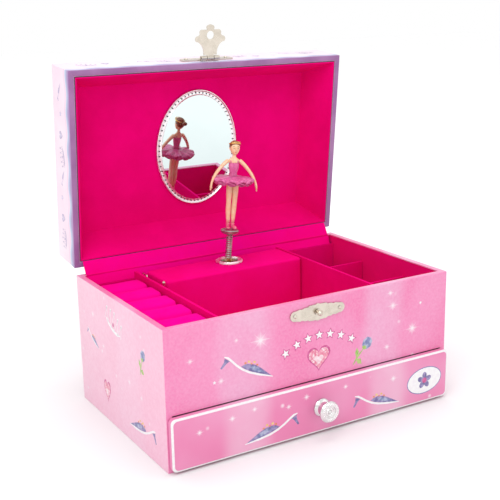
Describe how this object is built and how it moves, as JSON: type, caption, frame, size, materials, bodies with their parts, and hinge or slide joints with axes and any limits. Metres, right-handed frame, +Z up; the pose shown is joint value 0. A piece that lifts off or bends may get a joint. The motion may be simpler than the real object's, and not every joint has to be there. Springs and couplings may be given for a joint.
{
  "type": "music jewellery box",
  "caption": "Jewellery box with a mirrored hinged lid, ring rolls, compartments, a front drawer and a folding dancer turned by a key-wound music movement.",
  "frame": {"origin": "centre of the case's underside", "axes": "+Z up, -Y towards the drawer front, +X to the right as seen from the front; the lid stands open"},
  "size_m": [0.19, 0.1631, 0.2267],
  "materials": {
    "printed_paper": "gloss printed paper over board",
    "greyboard": "bare grey board",
    "magenta_lining": "flocked paper over card",
    "magenta_velvet": "short pile velvet over foam or board",
    "hinge_cloth": "flocked cloth",
    "nickel": "thin nickel plate",
    "chrome": "bright chrome",
    "steel": "plain steel",
    "brass": "plain brass",
    "white_plastic": "moulded plastic",
    "mirror_glass": "silvered glass",
    "figure_skin": "painted moulded plastic",
    "figure_dress": "painted moulded ruffles"
  },
  "bodies": {
    "case": {"left_wall": "printed_paper", "right_wall": "printed_paper", "front_panel": "printed_paper", "back_wall": "printed_paper", "base_board": "greyboard", "mid_shelf": "greyboard", "left_partition": "magenta_lining", "right_partition": "magenta_lining", "divider_front": "magenta_lining", "divider_rear": "magenta_lining", "rear_lining": "magenta_lining", "ring_roll_1": "magenta_velvet", "ring_roll_2": "magenta_velvet", "ring_roll_3": "magenta_velvet", "ring_roll_4": "magenta_velvet", "ring_roll_5": "magenta_velvet", "music_cover": "magenta_velvet", "hinge_cloth": "hinge_cloth", "spring_grommet": "nickel", "hinge_left_case_leaf": "nickel", "hinge_left_pin": "nickel", "hinge_right_case_leaf": "nickel", "hinge_right_pin": "nickel", "lock_plate": "nickel", "lock_nail_left": "nickel", "lock_nail_right": "nickel", "lock_stud": "nickel", "movement_screw_1": "nickel", "movement_screw_2": "nickel", "movement_bedplate": "steel", "comb": "steel", "spring_housing": "steel", "mainspring": "steel", "governor_bracket": "steel"},
    "lid": {"lid_shell": "printed_paper", "lid_lining": "magenta_lining", "mirror_frame": "chrome", "mirror_glass": "mirror_glass", "hinge_left_lid_leaf": "nickel", "hinge_right_lid_leaf": "nickel", "hasp_plate": "nickel", "hasp_nail_left": "nickel", "hasp_nail_right": "nickel", "hasp_pin": "nickel"},
    "hasp": {"hasp_leaf": "nickel"},
    "drawer": {"drawer_front": "printed_paper", "drawer_tray": "greyboard", "drawer_knob": "chrome", "knob_screw": "chrome"},
    "figure_fold": {"figure_spring": "steel"},
    "figure": {"figure_disc": "chrome", "ballerina_figure": "figure_skin", "tutu": "figure_dress"},
    "spindle": {"spindle": "brass"},
    "cylinder": {"cylinder": "brass"},
    "great_wheel": {"great_wheel": "brass"},
    "governor": {"governor": "white_plastic"},
    "key": {"winding_arbor": "brass", "winding_key": "brass"},
    "stop_lever": {"stop_lever": "nickel"}
  },
  "joints": [
    {"name": "lid_hinge", "type": "hinge", "parent": "case", "child": "lid", "pos_m": [0, 0.0632, 0.081], "axis": [1, 0, 0], "range_deg": [0, 84.5], "deforming": ["hinge_cloth"]},
    {"name": "hasp_hinge", "type": "hinge", "parent": "lid", "child": "hasp", "pos_m": [0, 0.05646, 0.20633], "axis": [1, 0, 0], "range_deg": [-90, 90]},
    {"name": "drawer_slide", "type": "slide", "parent": "case", "child": "drawer", "axis": [0, -1, 0], "range_m": [0, 0.085]},
    {"name": "figure_fold", "type": "hinge", "parent": "case", "child": "figure_fold", "pos_m": [0, 0.0385, 0.0885], "axis": [1, 0, 0], "range_deg": [0, 98], "deforming": ["figure_spring"]},
    {"name": "figure_spin", "type": "hinge", "parent": "figure_fold", "child": "figure", "pos_m": [0.00078, 0.0385, 0.09656], "axis": [0.0958, 0, 0.9954], "continuous": true},
    {"name": "spindle_spin", "type": "hinge", "parent": "case", "child": "spindle", "pos_m": [0, 0.0385, 0.06], "axis": [0, 0, 1], "continuous": true},
    {"name": "cylinder_spin", "type": "hinge", "parent": "case", "child": "cylinder", "pos_m": [0, 0.0439, 0.054], "axis": [1, 0, 0], "continuous": true},
    {"name": "great_wheel_spin", "type": "hinge", "parent": "case", "child": "great_wheel", "pos_m": [0.024, 0.0382, 0.054], "axis": [0, 1, 0], "continuous": true},
    {"name": "governor_spin", "type": "hinge", "parent": "case", "child": "governor", "pos_m": [-0.028, 0.0371, 0.06], "axis": [0, 0, 1], "continuous": true},
    {"name": "key_turn", "type": "hinge", "parent": "case", "child": "key", "pos_m": [0.024, 0.0605, 0.054], "axis": [0, 1, 0], "continuous": true},
    {"name": "stop_lever", "type": "hinge", "parent": "case", "child": "stop_lever", "pos_m": [-0.05, 0.035, 0.06], "axis": [1, 0, 0], "range_deg": [-8, 0]}
  ],
  "couplings": [
    {"joint": "figure_fold", "follows": "lid_hinge", "ratio": 1.1598},
    {"joint": "stop_lever", "follows": "lid_hinge", "ratio": -0.094674},
    {"joint": "figure_spin", "follows": "cylinder_spin", "ratio": -0.5},
    {"joint": "spindle_spin", "follows": "cylinder_spin", "ratio": -0.5},
    {"joint": "great_wheel_spin", "follows": "cylinder_spin", "ratio": 0.4},
    {"joint": "governor_spin", "follows": "cylinder_spin", "ratio": -8}
  ]
}
